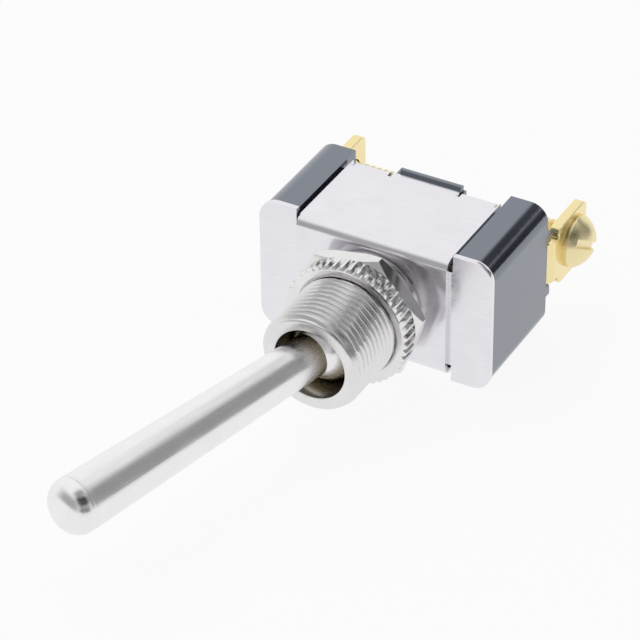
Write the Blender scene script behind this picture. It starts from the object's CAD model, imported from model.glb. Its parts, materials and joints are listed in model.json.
"""Panel toggle switch: its looks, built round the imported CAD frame.

Metres, in the row frame: -Y out of the panel along the bushing, +X along the body, +Z up, with the
origin on the bushing's axis in the strap's front face.
"""

import json
import math

import bmesh
import bpy
from mathutils import Matrix, Vector


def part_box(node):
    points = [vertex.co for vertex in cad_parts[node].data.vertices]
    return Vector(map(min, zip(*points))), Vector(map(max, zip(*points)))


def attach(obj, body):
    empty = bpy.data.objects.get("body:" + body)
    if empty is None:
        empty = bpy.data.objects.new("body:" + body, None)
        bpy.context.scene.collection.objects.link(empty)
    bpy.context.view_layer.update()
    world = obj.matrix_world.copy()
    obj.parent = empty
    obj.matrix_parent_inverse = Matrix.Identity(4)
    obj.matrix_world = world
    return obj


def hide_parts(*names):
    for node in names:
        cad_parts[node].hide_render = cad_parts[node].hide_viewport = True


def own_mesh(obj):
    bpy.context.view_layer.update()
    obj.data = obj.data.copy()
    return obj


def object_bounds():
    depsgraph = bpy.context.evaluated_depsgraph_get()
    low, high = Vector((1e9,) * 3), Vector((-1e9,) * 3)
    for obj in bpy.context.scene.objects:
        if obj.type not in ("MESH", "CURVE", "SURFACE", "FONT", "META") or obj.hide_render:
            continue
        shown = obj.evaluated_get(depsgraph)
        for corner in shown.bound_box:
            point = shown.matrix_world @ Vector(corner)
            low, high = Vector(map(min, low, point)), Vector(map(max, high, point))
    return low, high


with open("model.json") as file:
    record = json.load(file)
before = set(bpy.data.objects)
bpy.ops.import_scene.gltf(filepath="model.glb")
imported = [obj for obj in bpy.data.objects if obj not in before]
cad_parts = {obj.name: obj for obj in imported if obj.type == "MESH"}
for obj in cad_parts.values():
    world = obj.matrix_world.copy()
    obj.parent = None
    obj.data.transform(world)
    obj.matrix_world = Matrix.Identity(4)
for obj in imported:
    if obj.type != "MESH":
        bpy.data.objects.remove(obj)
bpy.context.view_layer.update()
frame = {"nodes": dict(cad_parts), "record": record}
MM = 0.001
FULL_TURN = 2 * math.pi
NODES = frame["nodes"]
RECORD = frame["record"]
BODY_OF = {node: body for body, nodes in RECORD["behaviour"]["bodies"].items() for node in nodes}
SLOT_OF = {part["node"]: part["material_slot"] for part in RECORD["subparts"]}
JOINT = {joint["name"]: joint for joint in RECORD["behaviour"]["joints"]}
MOUNT = {mount["name"]: mount for mount in RECORD["mounts"]}

# the lever's pivot, and the direction of its inner arm
PIVOT = Vector(JOINT["lever_throw"]["pos_m"])
INWARD = -Vector(JOINT["plunger_slide"]["axis"]).normalized()

# 32 threads to the inch, on the bushing and on the terminal screws
PITCH = 25.4 / 32 * MM
THREAD_DEPTH = 0.6134 * PITCH
ROWS_PER_PITCH = 10


# ---------------------------------------------------------------- shader graphs
class Graph:
    """A node tree with short ways to add nodes and to link them."""

    def __init__(self, tree):
        self.tree = tree

    def add(self, kind, **values):
        node = self.tree.nodes.new(kind)
        for key, value in values.items():
            setattr(node, key, value)
        return node

    def link(self, a, b):
        self.tree.links.new(a, b)

    def math(self, operation, *terms):
        """A math node; each term is a number or another node's output."""
        node = self.add("ShaderNodeMath", operation=operation)
        for socket, term in zip(node.inputs, terms):
            if isinstance(term, (int, float)):
                socket.default_value = term
            else:
                self.link(term, socket)
        return node.outputs[0]

    def dot(self, vector, axis):
        node = self.add("ShaderNodeVectorMath", operation="DOT_PRODUCT")
        self.link(vector, node.inputs[0])
        node.inputs[1].default_value = axis
        return node.outputs["Value"]

    def ramp(self, value, low, high, start=0.3, end=0.7, kind="LINEAR"):
        """Maps a value between start and end to one between low and high."""
        node = self.add("ShaderNodeMapRange", interpolation_type=kind)
        for key, number in (("From Min", start), ("From Max", end), ("To Min", low), ("To Max", high)):
            node.inputs[key].default_value = number
        self.link(value, node.inputs["Value"])
        return node.outputs["Result"]

    def ray(self, *kinds):
        """1 for rays of the named kinds, else 0."""
        path = self.add("ShaderNodeLightPath")
        total = path.outputs[f"Is {kinds[0]} Ray"]
        for kind in kinds[1:]:
            total = self.math("MAXIMUM", total, path.outputs[f"Is {kind} Ray"])
        return total


class Surface(Graph):
    """A material whose colour, gloss and relief follow noise in object space."""

    def __init__(self, name):
        self.mat = bpy.data.materials.new(name)
        self.mat.use_nodes = True
        super().__init__(self.mat.node_tree)
        self.bsdf = self.tree.nodes["Principled BSDF"]
        self.coord = self.add("ShaderNodeTexCoord").outputs["Object"]

    def set(self, **values):
        """Sets shader sockets; an underscore in a key stands for the space in the socket's name."""
        for key, value in values.items():
            self.bsdf.inputs[key.replace("_", " ")].default_value = value

    def feed(self, output, socket):
        self.link(output, self.bsdf.inputs[socket])

    def noise(self, scale, detail, rough, stretch=None, turn=0.0):
        """Noise; stretch is its frequency along each axis, after a turn about Z."""
        where = self.coord
        for key, value in (("Rotation", (0, 0, turn)), ("Scale", stretch)):
            if value is not None and any(value):
                mapping = self.add("ShaderNodeMapping")
                mapping.inputs[key].default_value = value
                self.link(where, mapping.inputs["Vector"])
                where = mapping.outputs["Vector"]
        texture = self.add("ShaderNodeTexNoise")
        for key, number in (("Scale", scale), ("Detail", detail), ("Roughness", rough)):
            texture.inputs[key].default_value = number
        self.link(where, texture.inputs["Vector"])
        return texture.outputs["Fac"]

    def blend(self, share, a, b):
        """Mixes two colours, each a triple or another node's output."""
        node = self.add("ShaderNodeMix", data_type="RGBA")
        self.link(share, node.inputs[0])
        for socket, colour in ((node.inputs[6], a), (node.inputs[7], b)):
            if isinstance(colour, tuple):
                socket.default_value = (*colour, 1)
            else:
                self.link(colour, socket)
        return node.outputs[2]

    def bump(self, height, strength, depth, normal=None):
        node = self.add("ShaderNodeBump")
        node.inputs["Strength"].default_value = strength
        node.inputs["Distance"].default_value = depth
        self.link(height, node.inputs["Height"])
        if normal is not None:
            self.link(normal, node.inputs["Normal"])
        return node.outputs["Normal"]

    def in_bore(self):
        """1 within the bushing's bore and behind its mouth, fading to 0 outside."""
        radius, fade = 4.3 * MM, 0.05 * MM
        bare_from, bare_full = -13.4 * MM, -12.2 * MM
        across = self.add("ShaderNodeVectorMath", operation="MULTIPLY")
        across.inputs[1].default_value = (1, 0, 1)
        self.link(self.coord, across.inputs[0])
        distance = self.add("ShaderNodeVectorMath", operation="LENGTH")
        self.link(across.outputs["Vector"], distance.inputs[0])
        along = self.dot(self.coord, (0, 1, 0))
        near_axis = self.ramp(distance.outputs["Value"], 1, 0, radius - fade, radius + fade)
        behind_mouth = self.ramp(along, 0, 1, bare_from, bare_full)
        return self.math("MULTIPLY", near_axis, behind_mouth)


# ---------------------------------------------------------------- materials
GRAIN_DEPTH = 0.02 * MM
PEEL_DEPTH = 0.1 * MM
WAVE_DEPTH = 0.2 * MM
# frequency of the fine grain along X, Y and Z: long along one axis, or rings round Y
ALONG_X = (300, 9000, 9000)
ALONG_Y = (7000, 90, 7000)
ROUND_Y = (900, 26000, 900)
BARE_METAL = (0.36, 0.32, 0.23)


def plated(name, pale, deep, rough, grain, grain_bump=0.12, wave_bump=0.0, turn=0.0, bore=None):
    """Plated metal: a fine grain, clouded colour and gloss. bore is the colour of its bare bore."""
    s = Surface(name)
    s.set(Metallic=1.0)
    cloud = s.noise(scale=260, detail=5, rough=0.6)
    fine = s.noise(scale=1.0, detail=3, rough=0.6, stretch=grain, turn=turn)
    colour = s.blend(s.math("MULTIPLY", s.ramp(cloud, 0.4, 1), s.ramp(fine, 0.4, 1)), deep, pale)
    if bore is not None:
        colour = s.blend(s.in_bore(), colour, bore)
    s.feed(colour, "Base Color")
    gloss = s.math("MULTIPLY_ADD", s.ramp(fine, -0.5, 0.5), rough * 0.5,
                   s.ramp(cloud, rough * 0.8, rough * 1.2))
    s.feed(gloss, "Roughness")
    normal = s.bump(fine, grain_bump, GRAIN_DEPTH)
    if wave_bump:
        normal = s.bump(s.noise(scale=420, detail=2, rough=0.5), wave_bump, WAVE_DEPTH, normal)
    s.feed(normal, "Normal")
    return s.mat


def phenolic(name):
    """Glossy dark moulding, with a faint mottle of filler and a slight orange peel."""
    s = Surface(name)
    mottle = s.ramp(s.noise(scale=1900, detail=6, rough=0.7), 0, 1, 0.35, 0.65)
    s.feed(s.blend(mottle, (0.027, 0.029, 0.042), (0.040, 0.043, 0.058)), "Base Color")
    s.feed(s.ramp(s.noise(scale=90, detail=3, rough=0.5), 0.12, 0.20), "Roughness")
    s.set(IOR=2.6, Specular_Tint=(0.76, 0.85, 1.0, 1), Coat_Weight=0.5, Coat_IOR=1.6, Coat_Roughness=0.08)
    s.feed(s.bump(s.noise(scale=700, detail=3, rough=0.5), 0.12, PEEL_DEPTH), "Normal")
    return s.mat


def plain(name, a, b, rough, scale=900, bump=0.1):
    """A non-metal with mottled colour and a fine grain."""
    s = Surface(name)
    mottle = s.noise(scale=scale, detail=5, rough=0.65)
    s.feed(s.blend(s.ramp(mottle, 0, 1), a, b), "Base Color")
    s.feed(s.ramp(mottle, rough * 0.85, min(1.0, rough * 1.15)), "Roughness")
    s.feed(s.bump(mottle, bump, PEEL_DEPTH), "Normal")
    return s.mat


def nickel(name, rough):
    """Turned nickel plate, which stops inside the bushing's bore."""
    return plated(name, pale=(0.86, 0.85, 0.85), deep=(0.72, 0.71, 0.71), rough=rough, grain=ROUND_Y,
                  grain_bump=0.16, bore=BARE_METAL)


def brass(name, pale, deep, rough):
    return plated(name, pale, deep, rough, grain=ALONG_X, wave_bump=0.05)


MATS = {
    "phenolic": phenolic("phenolic_gloss"),
    "plated_sheet": plated("zinc_sheet", pale=(0.88, 0.865, 0.90), deep=(0.75, 0.74, 0.78), rough=0.20,
                           grain=ALONG_X, grain_bump=0.16, wave_bump=0.06),
    "nickel": nickel("nickel_turned", rough=0.15),
    "thread_nickel": nickel("nickel_thread", rough=0.24),
    "lever_nickel": plated("nickel_lever", pale=(0.95, 0.94, 0.945), deep=(0.80, 0.79, 0.80), rough=0.24,
                           grain=ALONG_Y, grain_bump=0.16, turn=math.atan2(INWARD.x, INWARD.y)),
    "spring_steel": plated("steel_wire", pale=(0.55, 0.56, 0.58), deep=(0.42, 0.43, 0.45), rough=0.3,
                           grain=ROUND_Y),
    "nylon": plain("nylon_natural", (0.80, 0.77, 0.68), (0.86, 0.83, 0.75), rough=0.45),
    "fibre": plain("fibre_sheet", (0.40, 0.30, 0.20), (0.52, 0.40, 0.28), rough=0.75, scale=2200, bump=0.3),
    "brass": brass("brass_bright", pale=(0.97, 0.85, 0.52), deep=(0.86, 0.70, 0.33), rough=0.2),
    "screw_brass": brass("brass_screw", pale=(0.98, 0.88, 0.58), deep=(0.88, 0.73, 0.38), rough=0.34),
    "contact_silver": plated("silver_face", pale=(0.86, 0.85, 0.82), deep=(0.75, 0.74, 0.71), rough=0.28,
                             grain=ROUND_Y),
}


# ---------------------------------------------------------------- mesh helpers
BEVEL_SEGMENTS = 2
HARD_EDGE = math.radians(25)
FLAT_JOIN = math.radians(0.6)
WELD = 2e-6
SOFT_SHADE, TURNED_SHADE, THREAD_SHADE = 32, 30, 50


def piece(name, mesh, node):
    """A visible piece that stands for a CAD node and rides on its body."""
    obj = bpy.data.objects.new(name, mesh)
    bpy.context.collection.objects.link(obj)
    mesh.materials.clear()
    mesh.materials.append(MATS[SLOT_OF[node]])
    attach(obj, BODY_OF[node])
    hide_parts(node)
    return obj


def finish_mesh(bm, name, degrees):
    """The mesh, smooth but for its edges sharper than an angle."""
    bmesh.ops.recalc_face_normals(bm, faces=bm.faces)
    limit = math.radians(degrees)
    for face in bm.faces:
        face.smooth = True
    for edge in bm.edges:
        edge.smooth = len(edge.link_faces) == 2 and edge.calc_face_angle(0.0) < limit
    mesh = bpy.data.meshes.new(name)
    bm.to_mesh(mesh)
    bm.free()
    return mesh


def even_normals(obj):
    """Weights the shading normals by area, so that broad flats stay flat beside their rounded edges."""
    modifier = obj.modifiers.new("even", "WEIGHTED_NORMAL")
    modifier.keep_sharp = True
    shaped = obj.evaluated_get(bpy.context.evaluated_depsgraph_get())
    mesh = bpy.data.meshes.new_from_object(shaped)
    obj.modifiers.clear()
    obj.data = mesh


def softened(node, width, shape=None, extra=None):
    """A copy of a CAD node with its hard edges rounded over, after an optional change of shape."""
    bm = bmesh.new()
    bm.from_mesh(NODES[node].data)
    bmesh.ops.remove_doubles(bm, verts=bm.verts, dist=WELD)
    if shape is not None:
        shape(bm)
    bmesh.ops.dissolve_limit(bm, angle_limit=FLAT_JOIN, verts=bm.verts, edges=bm.edges)
    hard = [e for e in bm.edges if len(e.link_faces) == 2 and e.calc_face_angle(0.0) > HARD_EDGE]
    bmesh.ops.bevel(bm, geom=hard, offset=width, offset_type="OFFSET", segments=BEVEL_SEGMENTS,
                    profile=0.5, affect="EDGES", clamp_overlap=True)
    if extra is not None:
        bm.from_mesh(extra)
    obj = piece(node + "_piece", finish_mesh(bm, node, SOFT_SHADE), node)
    even_normals(obj)
    return obj


def arc(centre_a, centre_b, radius, start, end, count):
    """Points of an arc in a plane; angles in degrees, 0 along its first axis."""
    turns = [math.radians(start + (end - start) * k / count) for k in range(count + 1)]
    return [(centre_a + radius * math.cos(t), centre_b + radius * math.sin(t)) for t in turns]


def ring(bm, radius, y, count):
    """Vertices round the Y axis; radius is a number or a function of the angle, and 0 makes a pole."""
    if radius == 0:
        return [bm.verts.new((0, y, 0))]
    verts = []
    for k in range(count):
        angle = FULL_TURN * k / count
        r = radius(angle) if callable(radius) else radius
        verts.append(bm.verts.new((r * math.cos(angle), y, r * math.sin(angle))))
    return verts


def join_rings(bm, rings):
    """Faces between each ring of vertices and the next."""
    for a, b in zip(rings, rings[1:]):
        count = max(len(a), len(b))
        for k in range(count):
            n = (k + 1) % count
            if len(a) == 1:
                bm.faces.new((a[0], b[n], b[k]))
            elif len(b) == 1:
                bm.faces.new((a[k], a[n], b[0]))
            else:
                bm.faces.new((a[k], a[n], b[n], b[k]))


def thread_radius(root, crest, phase, flat, flank):
    """Radius of a thread at a phase of its pitch.

    flat and flank are shares of half a pitch, from the middle of the crest on; the rest is root.
    """
    off_crest = abs(phase % 1.0 - 0.5) * 2
    return root + (crest - root) * (1 - min(1.0, max(0.0, (off_crest - flat) / flank)))


# ---------------------------------------------------------------- lever
def build_lever():
    """The lever as one turned profile along Y: crowned end, round rim, taper, ball and inner arm."""
    segments = 128
    end, end_r, rim, crown = -39.4 * MM, 3.1 * MM, 2.1 * MM, 0.03 * MM
    neck_r, ball_r, ball_end = 2.44 * MM, 4.0 * MM, 64
    arm_r, arm_end, arm_chamfer = 1.7 * MM, 11.3 * MM, 0.2 * MM
    bore_r, bore_bottom = 1.05 * MM, 5.2 * MM
    crown_steps, taper_steps = 6, 24

    crown_r = end_r - rim
    shank_from = end + rim + crown
    profile = []
    for k in range(crown_steps + 1):
        share = k / crown_steps
        profile.append((crown_r * share, end + crown * share ** 2))
    profile += arc(crown_r, shank_from, rim, -80, 0, 20)

    # two fine turned lines behind the rim: depth, start and width of the floor
    line_flank = 0.04 * MM
    for depth, at, floor in ((0.05 * MM, 0.10 * MM, 0.08 * MM), (0.03 * MM, 0.42 * MM, 0.06 * MM)):
        line_from = shank_from + at
        profile += [(end_r, line_from), (end_r - depth, line_from + line_flank),
                    (end_r - depth, line_from + line_flank + floor),
                    (end_r, line_from + 2 * line_flank + floor)]

    # the many rings of the straight taper keep its shading even
    ball = arc(0, 0, ball_r, -math.degrees(math.acos(neck_r / ball_r)), ball_end, 30)
    ball_front, ball_back = ball[0][1], ball[-1][1]
    taper_from, taper_to = shank_from + 0.6 * MM, ball_front - 0.35 * MM
    for k in range(1, taper_steps + 1):
        share = k / taper_steps
        profile.append((end_r + (neck_r - end_r) * share, taper_from + (taper_to - taper_from) * share))
    profile += ball
    profile += [(arm_r, ball_back), (arm_r, arm_end - arm_chamfer), (arm_r - arm_chamfer, arm_end),
                (bore_r, arm_end), (bore_r, bore_bottom), (0, bore_bottom)]

    bm = bmesh.new()
    join_rings(bm, [ring(bm, r, y, segments) for r, y in profile])
    along = Vector((0, 1, 0)).rotation_difference(INWARD).to_matrix().to_4x4()
    bm.transform(Matrix.Translation(PIVOT) @ along)
    piece("lever_rod", finish_mesh(bm, "lever_rod", TURNED_SHADE), "lever")


# ---------------------------------------------------------------- bushing
def build_bushing():
    """The bushing: nose, one helical thread with a lead-in, staked bead, flange and bore."""
    around = 144
    low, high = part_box("bushing")
    nose, back = low.y, high.y
    crest = MOUNT["panel_thread"]["dims"]["r_mm"] * MM
    root = crest - THREAD_DEPTH
    bore, back_bore, flange = 4.17 * MM, 4.8 * MM, 5.7 * MM
    bead_r, plate_back = root + 0.30 * MM, 1.3 * MM
    thread_end = -0.45 * MM
    rows = int((thread_end - nose) / (PITCH / ROWS_PER_PITCH))

    def threaded(y):
        """The thread's radius at a depth, as a function of the angle, cut down by the lead-in cone."""
        lead_in = max(crest - 0.62 * MM + (y - nose) * 1.02, root - 0.3 * MM)

        def radius(angle):
            phase = (y - nose) / PITCH - angle / FULL_TURN
            return min(thread_radius(root, crest, phase, flat=0.13, flank=0.66), lead_in)
        return radius

    face_r = crest - 0.70 * MM
    front = [(bore, nose + 0.12 * MM), (bore + 0.04 * MM, nose + 0.03 * MM), (bore + 0.12 * MM, nose),
             (face_r - 0.12 * MM, nose), (face_r - 0.03 * MM, nose + 0.02 * MM)]
    thread = []
    for row in range(1, rows + 1):
        y = nose + row * (thread_end - nose) / rows
        thread.append((threaded(y), y))
    behind = [(root, thread_end + 0.1 * MM), (root + 0.25 * MM, -0.29 * MM), (bead_r, -0.15 * MM),
              (bead_r, 0), (root, 0), (root, plate_back), (flange, plate_back), (flange, back)]
    inner = [(back_bore, back), (bore, -0.6 * MM), (bore, -7 * MM)]

    bm = bmesh.new()
    rings = [ring(bm, r, y, around) for r, y in front + thread + behind + inner]
    join_rings(bm, rings + rings[:1])
    obj = piece("bushing_thread", finish_mesh(bm, "bushing_thread", THREAD_SHADE), "bushing")
    obj.data.materials[0] = MATS["thread_nickel"]


# ---------------------------------------------------------------- pieces softened from the CAD
def near(value, target, slack=0.02):
    """Whether a length is near a target; target and slack in millimetres."""
    return abs(value - target * MM) < slack * MM


def slim_lugs(bm):
    """The two locking lugs as low bars with round tops and drafted ends, close behind the strap."""
    cut, foot, top = 7.42, 7.36, 7.90
    front, rear = 12.83, 13.45
    front_round, rear_round, front_slope = 0.18, 0.17, 0.36
    old_half, old_front = 3.9 * MM, 12.8 * MM
    left_end, right_end, end_draft = -3.4, 4.1, 0.12
    slack = 1e-7

    outline = [(front, foot), (front, cut)]
    outline += arc(front + front_slope, top - front_round, front_round, 150, 90, 3)
    outline += arc(rear - rear_round, top - rear_round, rear_round, 90, 0, 4)
    outline.append((rear, foot))
    for side in (1, -1):
        bmesh.ops.bisect_plane(bm, geom=bm.verts[:] + bm.edges[:] + bm.faces[:], dist=1e-8,
                               plane_co=(0, 0, side * cut * MM), plane_no=(0, 0, 1))
        old = [f for f in bm.faces if all(abs(v.co.x) < old_half and v.co.y > old_front
                                          and side * v.co.z > cut * MM - slack for v in f.verts)]
        bmesh.ops.delete(bm, geom=old, context="FACES")
        bmesh.ops.holes_fill(bm, edges=[e for e in bm.edges if len(e.link_faces) == 1], sides=0)
        ends = []
        for x, draft in ((left_end, end_draft), (right_end, -end_draft)):
            points = [(x + draft * (z - foot) / (top - foot), y, side * z) for y, z in outline]
            ends.append([bm.verts.new((px * MM, py * MM, pz * MM)) for px, py, pz in points])
        join_rings(bm, ends)
        bm.faces.new(ends[0])
        bm.faces.new(ends[1][::-1])


def trim_strap(bm):
    """The strap's side edges stand off the end blocks, and its rear edge and tabs reach back squarely."""
    half, left, right = 9.35, -9.22 * MM, 9.0 * MM
    slot_side, slot_side_new = 9.0, 8.8 * MM
    rear, rear_new = 12.67, 12.8 * MM
    slot_end, slot_end_new = 11.37, 11.88 * MM
    bend_y, bend_z, bend_r, tight_r = 11.92 * MM, 6.59 * MM, 0.9 * MM, 0.35 * MM
    tabs_from, flanges_from = 11 * MM, 6.8 * MM
    slack, fit = 0.02 * MM, 0.03 * MM
    for v in bm.verts:
        x, y, z = v.co
        if near(abs(x), half):
            v.co.x = right if x > 0 else left
        elif near(x, slot_side) and y > tabs_from:
            v.co.x = slot_side_new
        if near(y, rear) and abs(z) > flanges_from:
            v.co.y = rear_new
        if near(y, slot_end):
            v.co.y = slot_end_new
        # the outside of a tab's bend is pressed to a tighter corner
        out_y, out_z = y - bend_y, abs(z) - bend_z
        on_bend = abs(math.hypot(out_y, out_z) - bend_r) < fit
        if out_y > slack and out_z > slack and on_bend:
            v.co.y = bend_y + bend_r - tight_r + tight_r * out_y / bend_r
            v.co.z = math.copysign(bend_z + bend_r - tight_r + tight_r * out_z / bend_r, z)


def turn_nut(bm):
    """The hex nut, turned on its thread to where the photo shows it."""
    turn = Matrix.Rotation(math.radians(-4), 3, "Y")
    bmesh.ops.rotate(bm, verts=bm.verts, cent=(0, 0, 0), matrix=turn)


def open_nut(bm):
    """A wider, deeper lead-in cone in the knurled nut, and teeth that run nearly to its front face."""
    face_inner, face_outer = 6.42 * MM, 6.9 * MM
    cone_bottom, cone_bottom_new = 0.5, 1.0 * MM
    tooth_start, tooth_share = 0.8 * MM, 0.33
    within_cone, within_face, outside_face = 6.0 * MM, 6.3 * MM, 6.6 * MM
    slack = 0.02 * MM
    front = min(v.co.y for v in bm.verts)
    for v in bm.verts:
        r = math.hypot(v.co.x, v.co.z)
        depth = v.co.y - front
        new_r = r
        if depth < slack:
            new_r = face_inner if r < within_face else face_outer
        elif near(depth, cone_bottom, 0.03) and r < within_cone:
            v.co.y = front + cone_bottom_new
        elif depth < tooth_start and r > outside_face:
            v.co.y = front + depth * tooth_share
        v.co.x, v.co.z = v.co.x * new_r / r, v.co.z * new_r / r


def threaded_shank(side, start, length, centre_y):
    """A screw's shank with its real helix, along the X axis toward the middle."""
    around = 48
    crest = 1.66 * MM
    root = crest - THREAD_DEPTH
    rows = int(length / PITCH * ROWS_PER_PITCH)
    bm = bmesh.new()
    rings = []
    for row in range(rows + 1):
        along = length * row / rows
        point_r = crest - 0.45 * MM + (length - along) * 1.2
        verts = []
        for k in range(around):
            angle = FULL_TURN * k / around
            phase = along / PITCH - side * angle / FULL_TURN
            r = min(thread_radius(root, crest, phase, flat=0.1, flank=0.7), point_r)
            place = (side * (start - along), centre_y + r * math.cos(angle), r * math.sin(angle))
            verts.append(bm.verts.new(place))
        rings.append(verts)
    join_rings(bm, rings)
    bm.faces.new(rings[-1])
    bm.faces.new(rings[0][::-1])
    return finish_mesh(bm, "shank", THREAD_SHADE)


def build_screw(node, side):
    """The CAD's slotted head, with a shank that carries its thread."""
    overlap = 0.02 * MM
    low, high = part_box(node)
    lug_face, centre_y, _ = MOUNT["terminal_right"]["pos_m"]
    length = lug_face - min(abs(low.x), abs(high.x))

    def drop_shank(bm):
        def inside(v):
            return abs(v.co.x) < lug_face - overlap
        shank = [f for f in bm.faces if all(inside(v) for v in f.verts)
                 or (abs(f.normal.x) < 0.5 and any(inside(v) for v in f.verts))]
        bmesh.ops.delete(bm, geom=shank, context="FACES")

    shank = threaded_shank(side, lug_face + overlap, length + overlap, centre_y)
    obj = softened(node, 0.08 * MM, shape=drop_shank, extra=shank)
    obj.data.materials[0] = MATS["screw_brass"]


def build_spring():
    """The plunger's spring, shortened from its seat in the lever's arm as the plunger is pushed in."""
    coil = piece("plunger_spring_coil", NODES["plunger_spring"].data.copy(), "plunger_spring")
    along = [v.co.dot(INWARD) for v in coil.data.vertices]
    middle = sum((v.co for v in coil.data.vertices), Vector()) / len(along)
    seat = middle + INWARD * (min(along) - middle.dot(INWARD))
    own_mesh(coil)


# how far each piece's edges are rounded, in millimetres, and its change of shape
SOFTENED = {
    "base": (0.12, slim_lugs),
    "front_plate": (0.13, None),
    "frame_strap": (0.07, trim_strap),
    "hex_nut": (0.08, turn_nut),
    "knurled_nut": (0.025, open_nut),
    "terminal_left": (0.1, None),
    "terminal_right": (0.1, None),
    "fulcrum_rivet": (0.05, None),
    "fixed_contact": (0.05, None),
}

build_lever()
build_bushing()
for node, (width, shape) in SOFTENED.items():
    softened(node, width * MM, shape)
build_screw("terminal_screw_left", -1)
build_screw("terminal_screw_right", 1)
build_spring()

# the CAD nodes that no piece stands for are shown as they are, in the material of their slot
for node, obj in NODES.items():
    if not obj.hide_render:
        obj.data.materials.clear()
        obj.data.materials.append(MATS[SLOT_OF[node]])


# ---------------------------------------------------------------- studio
# the studio is white all round but for these soft-edged flags, which the metal shows: azimuth,
# elevation, half width and half height in degrees, then level in the middle and softness of the edge
FLAGS = (
    (32, 24, 24, 27, 0.33, 0.3),
    (50, 12, 9, 16, 0.12, 0.5),
    (76, 41, 22, 8, 0.08, 0.35),
    (-31, 43, 28, 18, 0.04, 0.2),
    (-31, 9, 28, 13, 0.28, 0.3),
    (-40, 1, 22, 7, 0.12, 0.3),
    (-20, 74, 26, 12, 0.30, 0.5),
    (-108, 22, 40, 25, 0.42, 0.5),
)


def flag(sky, toward, azimuth, elevation, wide, tall, level, soft):
    """1 away from a flag, and its level in its middle."""
    corner_power = 4.0
    a, e = math.radians(azimuth), math.radians(elevation)
    centre = Vector((math.cos(e) * math.cos(a), math.cos(e) * math.sin(a), math.sin(e)))
    side = Vector((-math.sin(a), math.cos(a), 0))
    over = centre.cross(side)
    powers = []
    for axis, half in ((side, wide), (over, tall)):
        off = sky.math("MULTIPLY", sky.dot(toward, axis), 1 / math.sin(math.radians(half)))
        powers.append(sky.math("POWER", sky.math("ABSOLUTE", off), corner_power))
    reach = sky.math("POWER", sky.math("ADD", *powers), 1 / corner_power)
    fade = sky.ramp(reach, level, 1.0, 1 - soft, 1 + soft, "SMOOTHSTEP")
    in_front = sky.math("GREATER_THAN", sky.dot(toward, centre), 0.0)
    return sky.math("MAXIMUM", fade, sky.math("SUBTRACT", 1.0, in_front))


def build_studio():
    """The flags show to everything but the camera, which sees plain white."""
    light_strength, seen_strength = 0.85, 1.0
    world = bpy.data.worlds.new("studio")
    bpy.context.scene.world = world
    world.use_nodes = True
    world.node_tree.nodes.clear()
    sky = Graph(world.node_tree)
    toward = sky.add("ShaderNodeTexCoord").outputs["Generated"]
    tone = flag(sky, toward, *FLAGS[0])
    for values in FLAGS[1:]:
        tone = sky.math("MULTIPLY", tone, flag(sky, toward, *values))
    tone = sky.math("MAXIMUM", tone, sky.ray("Camera"))
    mix = sky.add("ShaderNodeMixShader")
    sky.link(sky.ray("Camera", "Glossy", "Transmission"), mix.inputs["Fac"])
    for strength, socket in ((light_strength, mix.inputs[1]), (seen_strength, mix.inputs[2])):
        glow = sky.add("ShaderNodeBackground")
        glow.inputs["Strength"].default_value = strength
        sky.link(tone, glow.inputs["Color"])
        sky.link(glow.outputs[0], socket)
    sky.link(mix.outputs[0], sky.add("ShaderNodeOutputWorld").inputs["Surface"])


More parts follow.
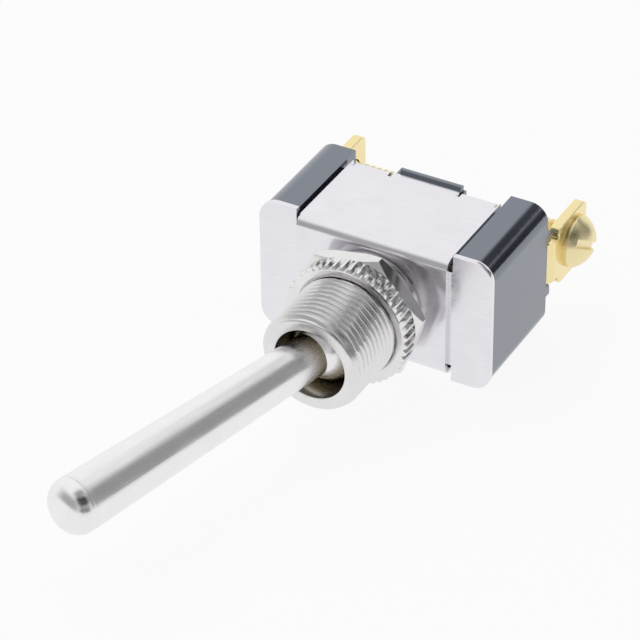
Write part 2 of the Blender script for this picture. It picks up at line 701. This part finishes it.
def floor_material():
    """Pale sweep: to the camera and to metal most of it is plain white, and the rest keeps the shadow."""
    whiteness = 0.92
    s = Surface("floor_pale")
    mottle = s.ramp(s.noise(scale=6, detail=3, rough=0.5), 0, 1)
    s.feed(s.blend(mottle, (0.86, 0.86, 0.865), (0.90, 0.90, 0.905)), "Base Color")
    s.set(Roughness=0.7, Specular_IOR_Level=0.2)
    white = s.add("ShaderNodeEmission")
    white.inputs["Color"].default_value = (1, 1, 1, 1)
    mix = s.add("ShaderNodeMixShader")
    s.link(s.math("MULTIPLY", s.ray("Camera", "Glossy", "Transmission"), whiteness), mix.inputs["Fac"])
    s.link(s.bsdf.outputs[0], mix.inputs[1])
    s.link(white.outputs[0], mix.inputs[2])
    s.link(mix.outputs[0], s.tree.nodes["Material Output"].inputs["Surface"])
    return s.mat


def build_floor():
    """A broad floor just under the part."""
    half, gap = 3.0, 0.02 * MM
    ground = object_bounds()[0].z - gap
    mesh = bpy.data.meshes.new("floor")
    corners = [(-half, -half, 0), (half, -half, 0), (half, half, 0), (-half, half, 0)]
    mesh.from_pydata(corners, [], [(0, 1, 2, 3)])
    mesh.materials.append(floor_material())
    obj = bpy.data.objects.new("floor", mesh)
    bpy.context.collection.objects.link(obj)
    obj.location = (0, 0, ground)


def build_key_light():
    """A soft square lamp high behind the part on its left, which doesn't show in the metal."""
    place, target, size = Vector((-0.55, 0.25, 0.75)), Vector((0, -0.01, 0)), 0.5
    lamp = bpy.data.lights.new("key", "AREA")
    lamp.shape = "RECTANGLE"
    lamp.size = lamp.size_y = size
    lamp.energy = 1.4
    obj = bpy.data.objects.new("key", lamp)
    bpy.context.collection.objects.link(obj)
    obj.location = place
    obj.rotation_euler = (target - place).to_track_quat("-Z", "Y").to_euler()
    obj.visible_glossy = False


def build_camera():
    """The camera at the photograph's viewing angle."""
    eye = Vector((0.1445, -0.2686, 0.2172))
    forward = Vector((-0.397, 0.707, -0.585)).normalized()
    right = Vector((0.875, 0.484, -0.008)).normalized()
    right = (right - right.dot(forward) * forward).normalized()
    up = right.cross(forward)
    sensor_mm, focal_length_mm = 36.0, 196.070625

    camera = bpy.data.cameras.new("camera")
    camera.sensor_width = sensor_mm
    camera.lens = focal_length_mm
    camera.clip_start = 0.01
    obj = bpy.data.objects.new("camera", camera)
    bpy.context.collection.objects.link(obj)
    obj.matrix_world = Matrix.Translation(eye) @ Matrix((right, up, -forward)).transposed().to_4x4()
    bpy.context.scene.camera = obj


build_studio()
build_floor()
build_key_light()
build_camera()
bpy.context.scene.view_settings.view_transform = "Standard"
